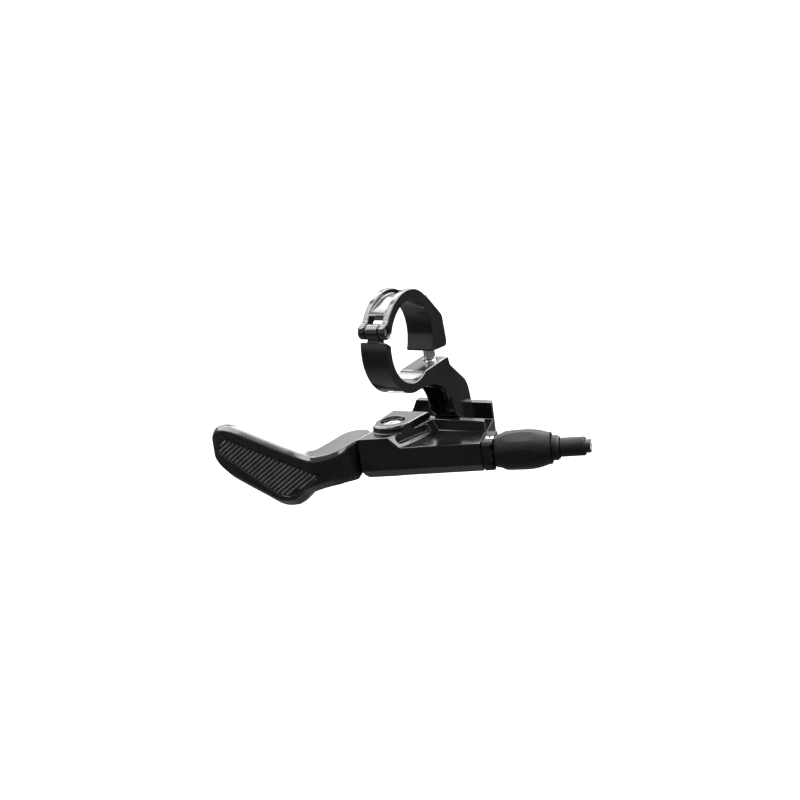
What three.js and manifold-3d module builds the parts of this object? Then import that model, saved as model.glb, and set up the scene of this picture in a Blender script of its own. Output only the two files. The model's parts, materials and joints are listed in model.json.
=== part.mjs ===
// Thumb lever for a 22.2 mm handlebar: hinged bar clamp, side-adjust rail, lever on a
// pivot bolt, cable anchor, and a threaded barrel adjuster with a short end of housing.
//
// Millimetres. Origin: centre of the bar clamp's bore. +X along the bar, +Z up along the
// lever's pivot, +Y forward, away from the rider.
// "Local" points (u, y) below are in the lever housing's own square: u along the cable,
// y forward, measured from the pivot, which is turned HOUSING_YAW from the bar.

import * as THREE from 'three';
import { mergeVertices } from 'three/addons/utils/BufferGeometryUtils.js';
import Module from 'manifold-3d';

const wasm = await Module();
wasm.setup();

// ---------------------------------------------------------------- driving dimensions

const GAP = 0.3;                 // clearance between moving or touching pieces
const FIT = 0.12;                // clearance between pieces fixed to each other

// Bar clamp, in the plane across the bar
const BORE_R = 11.15;            // for a 22.2 mm bar
const BAND_R = 14.0;             // outside of the band
const BAND_WIDTH = 8.0;
const HINGE = { y: -12.1, z: 6.3, r: 2.1, pinR: 1.0 };
const KNUCKLE_HALF = 1.85;       // half the width of the lower half's hinge knuckle
const JAW_TOP = -6.9;            // underside of the cap's jaw, at its outer edge
const JAW_SLOPE = 0.8;           // how much higher that underside is at the bore
const JAW_FLOOR = -9.9;          // top face of the bracket's jaw
const SCREW_Y = 14.8;            // clamp screw axis
const SCREW_SEAT = 0.4;          // height of the screw head's seat in the cap
const SCREW_END = -15.6;

// Side-adjust rail, along the bar
const RAIL = { nearOuter: 17.4, nearInner: 19.6, farInner: 30.4, farOuter: 32.6 };
const RAIL_FLOOR = -32.6;
const RAIL_NEAR_TOP = -28.5;
const RAIL_FAR_TOP = -27.7;
const RAIL_LEFT = -15.5;
const RAIL_TRAVEL = 4;
const RAIL_BOLT_Y = 25;
const RAIL_SHELF = -36.6;        // face under the rail that the bolt's washer bears on

// Lever housing
const PIVOT = { x: -11.8, y: 10.1 };
const HOUSING_YAW = THREE.MathUtils.degToRad(17.5);
const PLATE_TOP = -26.6;
const LEDGE_TOP = -28.6;
const DECK_TOP = -31.7;
const ROOF_UNDER = -30.4;        // underside of the roof over the lever's hub
const BASE = -40.3;
const FRONT_Y = -9.5;
const FRONT_WALL = 1.5;
const HOUSING_END = 25.7;
const COVER_TOP = -38.7;
const CAVITY_R = 8.0;

// Lever hub and cable anchor
const THROW = THREE.MathUtils.degToRad(35);
const WEB = { top: -33.5, bottom: -37.9 };
const HUB_R = 4.9;
const HUB_CORE_R = 3.9;
const HUB_BORE_R = 3.5;
const CABLE_Z = -35.75;
const ANCHOR_ARM = 5.4;
const ANCHOR_R = 1.6;
const CABLE_Y = -ANCHOR_ARM * Math.cos(THROW / 2);
const ANCHOR = { u: ANCHOR_ARM * Math.sin(THROW / 2), y: CABLE_Y };
const SPRING_R = 4.7;            // mean radius of the return spring's coil
const SLOT_HALF = 1.05;          // half the height of the slot the cable leaves by

// Cable, adjuster and housing, along the cable's axis
const WIRE_R = 0.55;
const SEAT = { start: 26.0, end: 28.9 };
const CLICK_ARM = 3.55;          // height of the click ball above the cable
const BARREL = { start: 29.2, length: 15.4, waistR: 4.6, bellyR: 5.65, flatR: 5.35, boreR: 2.9 };
const STEM = { r: 2.2, boreR: 1.3, length: 8 };
const COLLAR = { start: 44.9, end: 47.0, r: 3.5 };
const SLEEVE = { start: 47.2, end: 54.0, r: 2.65 };
const HOUSING = { end: 55.4, r: 1.95, boreR: 0.9, linerR: 1.2 };

// Paddle: a flat face, leaving the arm at the elbow
const ELBOW = { u: -19.8, y: -17.2 };
const PADDLE_ANGLE = THREE.MathUtils.degToRad(153.8);
const PAD_DEPTH = 1.1;
const RIB = { pitch: 1.3, half: 0.22, slant: THREE.MathUtils.degToRad(43) };

// ---------------------------------------------------------------- materials

const finish = (color, roughness, metalness) => ({ color, roughness, metalness });
const ANODISED = finish(0x17181a, 0.32, 0.75);
const PLASTIC = finish(0x232425, 0.62, 0.0);
const RUBBER = finish(0x121212, 0.75, 0.0);
const STEEL = finish(0xb9bcc0, 0.25, 1.0);
const DARK_STEEL = finish(0x3a3c3f, 0.35, 0.9);
const BRONZE = finish(0x8d6f45, 0.45, 0.8);
const POLYMER = finish(0xd8d4c6, 0.5, 0.0);

// ---------------------------------------------------------------- solids

const toSolid = (geometry) => {
  const bare = geometry.index ? geometry.toNonIndexed() : geometry.clone();
  for (const name of Object.keys(bare.attributes)) {
    if (name !== 'position') bare.deleteAttribute(name);
  }
  const merged = mergeVertices(bare, 1e-4);
  const mesh = new wasm.Mesh({
    numProp: 3,
    vertProperties: Float32Array.from(merged.attributes.position.array),
    triVerts: Uint32Array.from(merged.index.array),
  });
  mesh.merge();
  return new wasm.Manifold(mesh);
};

const toGeometry = (solid) => {
  const mesh = solid.getMesh();
  const geometry = new THREE.BufferGeometry();
  geometry.setAttribute('position', new THREE.BufferAttribute(mesh.vertProperties, 3));
  geometry.setIndex(new THREE.BufferAttribute(mesh.triVerts, 1));
  return geometry;
};

const join = (...geometries) => geometries.map(toSolid).reduce((a, b) => a.add(b));
const cut = (solid, ...geometries) => geometries.map(toSolid).reduce((a, b) => a.subtract(b), solid);

// ---------------------------------------------------------------- shapes

const outline = (points) => new THREE.Shape(points.map(([x, y]) => new THREE.Vector2(x, y)));

const extrude = (shape, depth, curveSegments = 12) =>
  new THREE.ExtrudeGeometry(shape, { depth, bevelEnabled: false, curveSegments });

// An outline in the XY plane, raised between two heights.
const prism = (points, bottom, top) =>
  extrude(outline(points), top - bottom).translate(0, 0, bottom);

const arc = (x, y, r, fromDeg, toDeg, steps = 8) =>
  Array.from({ length: steps + 1 }, (_, i) => {
    const angle = THREE.MathUtils.degToRad(fromDeg + ((toDeg - fromDeg) * i) / steps);
    return [x + r * Math.cos(angle), y + r * Math.sin(angle)];
  });

const disc = (x, y, r, bottom, top, segments = 32) =>
  new THREE.CylinderGeometry(r, r, top - bottom, segments)
    .rotateX(Math.PI / 2)
    .translate(x, y, (bottom + top) / 2);

const ring = (outerR, innerR, bottom, top, segments = 36) => {
  const profile = [[innerR, bottom], [outerR, bottom], [outerR, top], [innerR, top], [innerR, bottom]];
  return lathe(profile, segments).rotateX(Math.PI / 2);
};

// A profile of [radius, height] pairs turned about the Y axis.
const lathe = (profile, segments = 36) =>
  new THREE.LatheGeometry(profile.map(([r, h]) => new THREE.Vector2(r, h)), segments);

const box = (x0, x1, y0, y1, z0, z1) =>
  new THREE.BoxGeometry(x1 - x0, y1 - y0, z1 - z0)
    .translate((x0 + x1) / 2, (y0 + y1) / 2, (z0 + z1) / 2);

// A closed skin over loops of points with the same count, capped at both ends.
const skin = (loops) => {
  const count = loops[0].length;
  const positions = loops.flat().flatMap((p) => [p.x, p.y, p.z]);
  const index = [];
  for (let k = 0; k < loops.length - 1; k += 1) {
    for (let i = 0; i < count; i += 1) {
      const a = k * count + i;
      const b = k * count + ((i + 1) % count);
      index.push(a, b, b + count, a, b + count, a + count);
    }
  }
  const last = (loops.length - 1) * count;
  for (let i = 1; i < count - 1; i += 1) {
    index.push(0, i + 1, i, last, last + i, last + i + 1);
  }
  const geometry = new THREE.BufferGeometry();
  geometry.setAttribute('position', new THREE.Float32BufferAttribute(positions, 3));
  geometry.setIndex(index);
  return geometry;
};

// A block whose top outline may differ from its bottom outline.
const taper = (lower, upper, bottom, top) => {
  const lift = (points, z) => points.map(([x, y]) => new THREE.Vector3(x, y, z));
  const corners = [...lift(lower, bottom), ...lift(upper, top)];
  const faces = THREE.ShapeUtils.triangulateShape(outline(lower).getPoints(), []);
  const count = lower.length;
  const index = [];
  for (const [a, b, c] of faces) index.push(a, c, b, a + count, b + count, c + count);
  for (let i = 0; i < count; i += 1) {
    const j = (i + 1) % count;
    index.push(i, j, j + count, i, j + count, i + count);
  }
  const positions = corners.flatMap((p) => p.toArray());
  const geometry = new THREE.BufferGeometry();
  geometry.setAttribute('position', new THREE.Float32BufferAttribute(positions, 3));
  geometry.setIndex(index);
  return geometry;
};

// The same outline with every side moved inwards.
const inset = (points, amount) => {
  const inwards = THREE.ShapeUtils.area(outline(points).getPoints()) > 0 ? 1 : -1;
  return points.map(([x, y], i) => {
    const [px, py] = points[(i + points.length - 1) % points.length];
    const [nx, ny] = points[(i + 1) % points.length];
    const before = new THREE.Vector2(x - px, y - py).normalize();
    const after = new THREE.Vector2(nx - x, ny - y).normalize();
    const side = new THREE.Vector2(-before.y - after.y, before.x + after.x).normalize();
    const reach = (amount * inwards) / (-before.y * side.x + before.x * side.y);
    return [x + side.x * reach, y + side.y * reach];
  });
};

// Across the bar: shape x is +Y, shape y is +Z, and the depth runs along +X.
const ACROSS_BAR = new THREE.Matrix4().makeBasis(
  new THREE.Vector3(0, 1, 0), new THREE.Vector3(0, 0, 1), new THREE.Vector3(1, 0, 0));
const acrossBar = (shape, width, centreX = 0, curveSegments = 12) =>
  extrude(shape, width, curveSegments).translate(0, 0, centreX - width / 2).applyMatrix4(ACROSS_BAR);

const barRod = (y, z, r, width, centreX = 0, segments = 24) =>
  new THREE.CylinderGeometry(r, r, width, segments).rotateZ(Math.PI / 2).translate(centreX, y, z);

// From the row's frame to the housing's local frame.
const TO_LOCAL = new THREE.Matrix4().makeTranslation(PIVOT.x, PIVOT.y, 0)
  .multiply(new THREE.Matrix4().makeRotationZ(HOUSING_YAW)).invert();
const local = (geometry) => geometry.applyMatrix4(TO_LOCAL);
const localPoint = (x, y) => {
  const p = new THREE.Vector3(x, y, 0).applyMatrix4(TO_LOCAL);
  return [p.x, p.y];
};

// Turned about the cable's axis: heights in the profile are u.
const onCable = (geometry) => geometry.rotateZ(-Math.PI / 2).translate(0, CABLE_Y, CABLE_Z);
const tube = (outerR, innerR, start, end, segments = 32) =>
  onCable(lathe([[innerR, start], [outerR, start], [outerR, end], [innerR, end], [innerR, start]], segments));
const rod = (r, start, end, segments = 24) =>
  onCable(lathe([[0, start], [r, start], [r, end], [0, end]], segments));

// The paddle's face: shape x runs from the elbow to the tip, shape y is up, depth is forward.
const PADDLE_ALONG = new THREE.Vector3(Math.cos(PADDLE_ANGLE), Math.sin(PADDLE_ANGLE), 0);
const PADDLE_UP = new THREE.Vector3(0, 0, 1);
const PADDLE_REAR = new THREE.Vector3().crossVectors(PADDLE_ALONG, PADDLE_UP);
const PADDLE = new THREE.Matrix4()
  .makeBasis(PADDLE_ALONG, PADDLE_UP, PADDLE_REAR)
  .setPosition(ELBOW.u, ELBOW.y, 0);
const onPaddle = (shape, from, to) =>
  extrude(shape, to - from).translate(0, 0, from).applyMatrix4(PADDLE);

// ---------------------------------------------------------------- scene graph

const shifter = new THREE.Group();
const housingFrame = new THREE.Group();
housingFrame.position.set(PIVOT.x, PIVOT.y, 0);
housingFrame.rotation.z = HOUSING_YAW;
shifter.add(housingFrame);

const place = (parent, name, geometry, material) => {
  const mesh = new THREE.Mesh(geometry, new THREE.MeshStandardMaterial(material));
  mesh.name = name;
  parent.add(mesh);
  return mesh;
};
const onBar = (name, geometry, material) => place(shifter, name, geometry, material);
const inHousing = (name, geometry, material) => place(housingFrame, name, geometry, material);

// ---------------------------------------------------------------- bracket

// Lower half of the clamp, the curved arm and the foot that slides in the rail.
const bracketProfile = () => {
  const shape = new THREE.Shape();
  const hingeAngle = Math.PI - Math.atan2(HINGE.z, -HINGE.y);
  const jawInner = Math.sqrt(BORE_R ** 2 - JAW_FLOOR ** 2);
  const foot = { near: RAIL.nearInner + GAP, far: RAIL.farInner - GAP, bottom: RAIL_FLOOR + GAP };
  shape.moveTo(jawInner, JAW_FLOOR);
  shape.absarc(0, 0, BORE_R, Math.atan2(JAW_FLOOR, jawInner), hingeAngle, true);
  shape.absarc(0, 0, BAND_R, hingeAngle, Math.PI * 1.5, false);
  shape.quadraticCurveTo(6.0, -14.1, 9.8, -15.6);
  shape.quadraticCurveTo(13.4, -16.8, 15.8, -19.8);
  shape.quadraticCurveTo(17.3, -22.0, 17.6, -24.6);
  shape.quadraticCurveTo(17.9, -26.8, foot.near, -28.2);
  shape.lineTo(foot.near, foot.bottom + 1.2);
  shape.lineTo(foot.near + 1.2, foot.bottom);
  shape.lineTo(foot.far - 1.2, foot.bottom);
  shape.lineTo(foot.far, foot.bottom + 1.2);
  shape.quadraticCurveTo(28.6, -29.0, 28.0, -26.0);
  shape.quadraticCurveTo(27.6, -20.6, 25.6, -18.8);
  shape.lineTo(19.4, -13.2);
  shape.quadraticCurveTo(18.5, -12.4, 18.4, -11.3);
  shape.quadraticCurveTo(18.3, JAW_FLOOR, 17.0, JAW_FLOOR);
  shape.closePath();
  return shape;
};

// Pocket in the rider's side of the arm, between two rims, the wider rim on the right.
const armPocket = () => {
  const shape = new THREE.Shape();
  shape.moveTo(11.0, -17.6);
  shape.lineTo(14.4, -17.6);
  shape.quadraticCurveTo(20.2, -18.6, 21.6, -25.6);
  shape.lineTo(21.8, -27.4);
  shape.lineTo(11.0, -27.4);
  shape.closePath();
  const rims = { left: 1.0, right: 2.1 };
  return acrossBar(shape, BAND_WIDTH - rims.left - rims.right, (rims.left - rims.right) / 2);
};

// Room for the cap's lugs on each side of the bracket's knuckle.
const lugRoom = () => {
  const shape = outline([[-18, 4.9], [-14.1, 4.3], [-10.4, 1.7], [-6, 1.7], [-6, 12], [-18, 12]]);
  const width = BAND_WIDTH / 2 - KNUCKLE_HALF + 1;
  return [-1, 1].map((side) => acrossBar(shape, width, side * (KNUCKLE_HALF + width / 2)));
};

const bracket = () => {
  let solid = cut(toSolid(acrossBar(bracketProfile(), BAND_WIDTH, 0, 28)), ...lugRoom());
  const knuckle = toSolid(barRod(HINGE.y, HINGE.z, HINGE.r, 2 * KNUCKLE_HALF, 0, 28));
  solid = solid.add(cut(knuckle, barRod(0, 0, BORE_R, BAND_WIDTH, 0, 96)));
  solid = cut(solid, barRod(HINGE.y, HINGE.z, HINGE.pinR + FIT, BAND_WIDTH + 2));
  solid = cut(solid, disc(0, SCREW_Y, 1.9, SCREW_END - 1.1, JAW_FLOOR + 1, 24));
  solid = cut(solid, disc(0, RAIL_BOLT_Y, 2.5 + FIT, RAIL_FLOOR - 1, -26.5, 24));
  return toGeometry(cut(solid, armPocket()));
};

// ---------------------------------------------------------------- clamp cap and its hardware

const capProfile = () => {
  const shape = new THREE.Shape();
  const jawCorner = JAW_TOP + JAW_SLOPE + 0.5;
  const jawInner = Math.sqrt(BORE_R ** 2 - jawCorner ** 2);
  const hingeAngle = Math.PI - Math.atan2(HINGE.z, -HINGE.y);
  shape.moveTo(jawInner + 0.5, JAW_TOP + JAW_SLOPE);
  shape.lineTo(17.2, JAW_TOP);
  shape.quadraticCurveTo(18.3, JAW_TOP, 18.5, -5.2);
  shape.lineTo(17.9, 1.2);
  shape.quadraticCurveTo(17.8, 2.0, 17.2, 2.8);
  shape.lineTo(10.6, 9.7);
  shape.absarc(0, 0, BAND_R + 0.15, Math.atan2(9.7, 10.6), hingeAngle - 0.2, false);
  shape.lineTo(HINGE.y - HINGE.r * 0.8, HINGE.z + HINGE.r * 0.6);
  shape.lineTo(HINGE.y, HINGE.z);
  shape.lineTo(BORE_R * Math.cos(hingeAngle), BORE_R * Math.sin(hingeAngle));
  shape.absarc(0, 0, BORE_R, hingeAngle, Math.atan2(jawCorner, jawInner), true);
  shape.closePath();
  return shape;
};

// Relief over the crown between two rims, deepening from nothing at the hinge end.
const crownRelief = () => {
  const from = THREE.MathUtils.degToRad(134);
  const to = THREE.MathUtils.degToRad(57);
  const half = 2.3;
  const depth = 1.45;
  const steps = 18;
  const loops = Array.from({ length: steps + 1 }, (_, k) => {
    const t = k / steps;
    const angle = from + (to - from) * t;
    const floorR = BAND_R + 0.2 - depth * Math.sin((Math.PI / 2) * Math.min(1, t * 2.6));
    const at = (r, x) => new THREE.Vector3(x, r * Math.cos(angle), r * Math.sin(angle));
    return [at(floorR, -half), at(floorR, half), at(BAND_R + 5, half), at(BAND_R + 5, -half)];
  });
  return skin(loops.reverse());
};

const clampCap = () => {
  const slotHalf = KNUCKLE_HALF + GAP;
  let solid = toSolid(acrossBar(capProfile(), BAND_WIDTH, 0, 28));
  const lugs = toSolid(barRod(HINGE.y, HINGE.z, HINGE.r, BAND_WIDTH, 0, 28));
  solid = solid.add(cut(lugs, barRod(0, 0, BORE_R, 20, 0, 96)));
  const forkEnd = new THREE.Shape();
  forkEnd.moveTo(-18, 2);
  forkEnd.lineTo(-7.0, 2);
  forkEnd.lineTo(-7.4, 7.6);
  forkEnd.lineTo(-10.4, 10.4);
  forkEnd.lineTo(-18, 10.4);
  forkEnd.closePath();
  solid = cut(solid, acrossBar(forkEnd, 2 * slotHalf));
  solid = cut(solid, barRod(HINGE.y, HINGE.z, HINGE.pinR + GAP, BAND_WIDTH + 2));
  solid = cut(solid, crownRelief());
  // the screw stays upright while the cap tips, so its hole is a short slot
  const shankSlot = [...arc(0, SCREW_Y - 0.8, 2.0, 180, 360, 10), ...arc(0, SCREW_Y + 0.35, 2.0, 0, 180, 10)];
  solid = cut(solid, prism(shankSlot, JAW_TOP - 1, 12));
  const headSlot = [...arc(0, SCREW_Y - 0.25, 3.15, 180, 360, 12), [3.15, 24], [-3.15, 24]];
  return toGeometry(cut(solid, prism(headSlot, SCREW_SEAT, 16)));
};

const hingePin = () => barRod(HINGE.y, HINGE.z, HINGE.pinR, BAND_WIDTH - 1.2);

const hexSocket = (r, depth, top) => disc(0, 0, r, top - depth, top + 1, 6);

const WASHER = { bottom: SCREW_SEAT + 0.22, top: SCREW_SEAT + 0.75 };
const screwWasher = () => ring(2.8, 1.75, WASHER.bottom, WASHER.top).translate(0, SCREW_Y, 0);

const clampScrew = () => {
  const head = { r: 2.7, height: 3.0 };
  const seat = WASHER.top + FIT;
  const top = seat + head.height;
  const profile = [
    [0, SCREW_END], [1.3, SCREW_END], [1.6, SCREW_END + 0.3], [1.6, seat], [head.r, seat],
    [head.r, top - 0.3], [head.r - 0.3, top], [0, top],
  ];
  const solid = toSolid(lathe(profile, 28).rotateX(Math.PI / 2));
  return toGeometry(cut(solid, hexSocket(1.5, 1.9, top))).translate(0, SCREW_Y, 0);
};

// ---------------------------------------------------------------- rail bolt

const railBolt = () => {
  const washerUnder = RAIL_SHELF - 0.15 - 0.6;
  const headTop = washerUnder - 0.1;
  const headBottom = BASE + 0.2;
  const profile = [
    [0, headBottom], [3.7, headBottom], [4.1, headBottom + 0.4], [4.1, headTop],
    [2.5, headTop], [2.5, -27.4], [2.1, -27.0], [0, -27.0],
  ];
  const solid = toSolid(lathe(profile, 32).rotateX(Math.PI / 2));
  const socket = disc(0, 0, 1.7, headBottom - 1, headBottom + 1.9, 6);
  return toGeometry(cut(solid, socket)).translate(0, RAIL_BOLT_Y, 0);
};

const railWasher = () => {
  const top = RAIL_SHELF - 0.15;
  return ring(4.1, 2.7, top - 0.6, top).translate(0, RAIL_BOLT_Y, 0);
};

// ---------------------------------------------------------------- lever housing

const SPLIT = { inner: [-4.9, -2.6], outer: [-8.4, FRONT_Y] };

const lowerOutline = () => [
  SPLIT.outer,
  [HOUSING_END, FRONT_Y],
  [HOUSING_END, 15.5],
  localPoint(RAIL_LEFT - 3, RAIL.farOuter),
  localPoint(RAIL_LEFT - 1.5, RAIL.nearInner),
  [-1.7, 9.2],
  [-4.9, 0.3],
  SPLIT.inner,
];

// Step between the deck and the boss, with a sloping right side.
const ledge = () => {
  const rearY = RAIL.nearOuter + 0.6;
  const left = [localPoint(-16.2, rearY), [-4.9, 0.3], SPLIT.inner];
  const lower = [SPLIT.outer, [3.6, FRONT_Y], localPoint(-1.4, rearY), ...left];
  const upper = [SPLIT.outer, [0.1, FRONT_Y], localPoint(-3.0, rearY), ...left];
  return taper(lower, upper, DECK_TOP - 0.5, LEDGE_TOP);
};

// Raised boss over the pivot, round at the rider's side and straight along the rail.
const plate = () => {
  const farRight = localPoint(-4.4, 18.3);
  const farLeft = localPoint(-16.2, 18.3);
  const edge = [...arc(0, 0, 6.3, 218, 335, 14), farRight, farLeft, [-4.9, 0.3]];
  const body = toSolid(prism(edge, LEDGE_TOP - 1, PLATE_TOP - 0.5));
  return toGeometry(body.add(toSolid(taper(edge, inset(edge, 0.5), PLATE_TOP - 0.5, PLATE_TOP))));
};

const railWalls = () => {
  const right = 20;
  const left = RAIL_LEFT - 1.5;
  const near = box(left, right, RAIL.nearOuter, RAIL.nearInner, DECK_TOP - 1, RAIL_NEAR_TOP);
  const farShape = outline([
    [RAIL_LEFT - 3, RAIL_FLOOR - 1], [right, RAIL_FLOOR - 1],
    [right, RAIL_FAR_TOP], [RAIL_LEFT, RAIL_FAR_TOP],
  ]);
  const far = extrude(farShape, RAIL.farOuter - RAIL.farInner)
    .rotateX(Math.PI / 2)
    .translate(0, RAIL.farOuter, 0);
  const walls = join(local(near), local(far));
  const keep = toSolid(box(-12, HOUSING_END, -20, 40, -60, 0));
  return toGeometry(walls.intersect(keep));
};

// Room for the hub, its web and the anchor to swing in, open to the left and below.
const hubCavity = () => {
  const wallY = FRONT_Y + FRONT_WALL;
  const openX = -12;
  const webRoom = [
    ...arc(0, 0, CAVITY_R, -83, 38, 16),
    [2.2, 5.9], [-1.6, 5.9], [-3.4, 7.6], [openX, 7.6], [openX, wallY], [0.9, wallY],
  ];
  const leftOpening = [[openX, wallY], [-3, wallY], [-3, 0.2], [openX, 0.2]];
  const springFloor = WEB.top - 0.5;
  const springRoom = disc(0, 0, 5.6, springFloor, ROOF_UNDER, 40);
  const legRoom = prism([[0, 0], ...arc(0, 0, 6.6, 52, 98, 8)], springFloor, ROOF_UNDER);
  return toGeometry(join(
    prism(webRoom, BASE - 1, WEB.top + GAP), prism(leftOpening, WEB.top, ROOF_UNDER), legRoom, springRoom));
};

const leverHousing = () => {
  const chamfer = { in: 1.5, up: 2.3 };
  let solid = join(prism(lowerOutline(), BASE, DECK_TOP), ledge(), plate());
  const trough = box(-40, 40, RAIL.nearInner, RAIL.farInner, RAIL_FLOOR, 0);
  solid = cut(solid, local(trough)).add(toSolid(railWalls()));
  // chamfer along the bottom of the front face, and the raked lower corner at the lever's end
  const frontChamfer = outline([
    [FRONT_Y - 1, BASE - 1], [FRONT_Y + chamfer.in + 0.65, BASE - 1], [FRONT_Y - 0.65, BASE + chamfer.up + 1],
  ]);
  solid = cut(solid, acrossBar(frontChamfer, 90, 10));
  const endRake = outline([[-12, BASE - 1], [-6.1, BASE - 1], [-9.9, BASE + 3.4], [-12, BASE + 3.4]]);
  solid = cut(solid, extrude(endRake, 60).rotateX(Math.PI / 2).translate(0, 30, 0));
  solid = cut(solid, hubCavity());
  // bolt recess and bore in the roof
  solid = cut(solid, disc(0, 0, 3.5, -29.2, 0, 40), disc(0, 0, 2.2, -34, 0, 28));
  // long narrow recess on the slope between ledge and deck
  const strip = [...arc(0, 0, 0.8, 90, 270, 6), ...arc(11.0, 0, 0.8, -90, 90, 6)];
  const stripCut = prism(strip, -31.0, -20).rotateZ(THREE.MathUtils.degToRad(53)).translate(2.75, -7.6, 0);
  solid = cut(solid, stripCut);
  // rail bolt slot, and the pocket for its head
  const slot = (halfLength, r, bottom, top) =>
    local(prism([...arc(-halfLength, 0, r, 90, 270, 10), ...arc(halfLength, 0, r, -90, 90, 10)], bottom, top)
      .translate(0, RAIL_BOLT_Y, 0));
  solid = cut(solid, slot(RAIL_TRAVEL + 0.3, 2.8, BASE - 1, 0));
  solid = cut(solid, slot(RAIL_TRAVEL + 0.3, 4.4, BASE - 1, RAIL_SHELF));
  // cable bore, wider where the adjuster's seat plugs in
  solid = cut(solid, rod(1.4, 4, 20), rod(3.3, 16.5, 30, 32));
  // rebate for the cover
  solid = cut(solid, prism(coverOutline(0), BASE - 1, COVER_TOP));
  for (const [u, y] of COVER_SCREWS) solid = cut(solid, disc(u, y, 0.85, COVER_TOP - 1, COVER_TOP + 3.2, 16));
  return toGeometry(solid);
};

// ---------------------------------------------------------------- cover under the hub

const COVER_SCREWS = [[10.1, -1.6], [8.8, 5.2], [0.9, 7.0]];

function coverOutline(gap) {
  return [
    [-5.6 + gap, FRONT_Y + 2.6 + gap], [12.0 - gap, FRONT_Y + 2.6 + gap], [12.0 - gap, 8.0 - gap],
    [-1.6 + gap, 9.0 - gap], [-4.4 + gap, 1.6],
  ];
}

const hubCover = () => {
  let solid = toSolid(prism(coverOutline(GAP), BASE, COVER_TOP - 0.1));
  solid = cut(solid, disc(0, 0, 2.1, BASE - 1, -38, 24));
  solid = cut(solid, disc(0, 0, 3.75, BASE - 1, BASE + 1.0, 6));
  for (const [u, y] of COVER_SCREWS) {
    solid = cut(solid, disc(u, y, 1.0, BASE - 1, -38, 16), disc(u, y, 1.75, BASE - 1, BASE + 0.8, 20));
  }
  return toGeometry(solid);
};

const coverScrew = (u, y) => {
  const headTop = BASE + 0.65;
  const end = COVER_TOP + 2.9;
  const profile = [[0, BASE], [1.5, BASE], [1.5, headTop], [0.72, headTop], [0.72, end], [0, end]];
  const solid = toSolid(lathe(profile, 20).rotateX(Math.PI / 2));
  return toGeometry(cut(solid, disc(0, 0, 0.7, BASE - 1, BASE + 0.45, 6))).translate(u, y, 0);
};

// ---------------------------------------------------------------- pivot

// Six-pointed socket in the pivot bolt's head.
const starSocket = (depth, top) => {
  const points = Array.from({ length: 24 }, (_, i) => {
    const angle = (i / 24) * 2 * Math.PI;
    const r = 1.75 + 0.3 * Math.cos(6 * angle);
    return [r * Math.cos(angle), r * Math.sin(angle)];
  });
  return prism(points, top - depth, top + 1);
};

const pivotBolt = () => {
  const headTop = PLATE_TOP - 1.0;
  const headUnder = -29.05;
  const end = BASE + 0.2;
  const profile = [
    [0, end], [1.6, end], [1.9, end + 0.3], [1.9, headUnder], [3.2, headUnder],
    [3.2, headTop - 0.25], [2.95, headTop], [0, headTop],
  ];
  const solid = toSolid(lathe(profile, 32).rotateX(Math.PI / 2));
  return toGeometry(cut(solid, starSocket(1.0, headTop)));
};

const pivotNut = () => {
  const solid = toSolid(disc(0, 0, 3.6, BASE + 0.05, BASE + 0.9, 6));
  return toGeometry(cut(solid, disc(0, 0, 2.02, BASE - 1, -38, 24)));
};

const pivotSleeve = () => ring(2.5, 2.05, COVER_TOP + 0.1, ROOF_UNDER - 0.1);
const upperBush = () => ring(HUB_BORE_R - 0.1, 2.8, -33.4, -31.5);
const lowerBush = () => ring(HUB_BORE_R - 0.1, 2.8, WEB.bottom + 0.1, WEB.bottom + 2.0);
const upperWasher = () => ring(4.4, 2.7, ROOF_UNDER - 0.7, ROOF_UNDER - 0.2);
const lowerWasher = () => ring(4.4, 2.7, COVER_TOP + 0.15, COVER_TOP + 0.5);

// Torsion spring round the hub's core. Its tail drops into the web, its leg bears on the housing.
const returnSpring = () => {
  const wire = 0.36;
  const low = WEB.top + 0.45;
  const rise = 1.5;
  const turns = 1.75;
  const legAngle = THREE.MathUtils.degToRad(90);
  const tailAngle = legAngle - turns * 2 * Math.PI;
  const points = [];
  const at = (angle, r, z) => new THREE.Vector3(r * Math.cos(angle), r * Math.sin(angle), z);
  const steps = 42;
  for (let i = 0; i <= steps; i += 1) {
    const t = i / steps;
    points.push(at(tailAngle + turns * 2 * Math.PI * t, SPRING_R, low + rise * t));
  }
  points.push(at(legAngle + 0.06, SPRING_R + 0.7, low + rise + 0.04));
  points.push(at(legAngle + 0.05, 6.0, low + rise + 0.06));
  const path = new THREE.CatmullRomCurve3(points, false, 'centripetal');
  const section = new THREE.Shape();
  section.absarc(0, 0, wire, 0, 2 * Math.PI, false);
  const sweep = { steps: 64, extrudePath: path, curveSegments: 4, bevelEnabled: false };
  const coil = new THREE.ExtrudeGeometry(section, sweep);
  const tail = at(tailAngle, SPRING_R, 0);
  return toGeometry(join(coil, disc(tail.x, tail.y, wire * 1.05, WEB.top - 1.2, low + 0.1, 10)));
};

// ---------------------------------------------------------------- lever

// Stations along the arm and the paddle: the near (rider's) edge, the far edge, the heights
// of the top and the bottom, and how far the bottom rises towards the far edge. The arm's are
// local points, the paddle's are measured from the elbow along its face.
const armStation = (near, far, top, bottom, rise) => ({ near, far, top, bottom, rise });
const paddleStation = (along, thickness, top, bottom, recess = 0) => {
  const near = new THREE.Vector3(along, 0, recess).applyMatrix4(PADDLE);
  const far = new THREE.Vector3(along, 0, thickness).applyMatrix4(PADDLE);
  return { near: [near.x, near.y], far: [far.x, far.y], top, bottom, rise: 0 };
};

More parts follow.
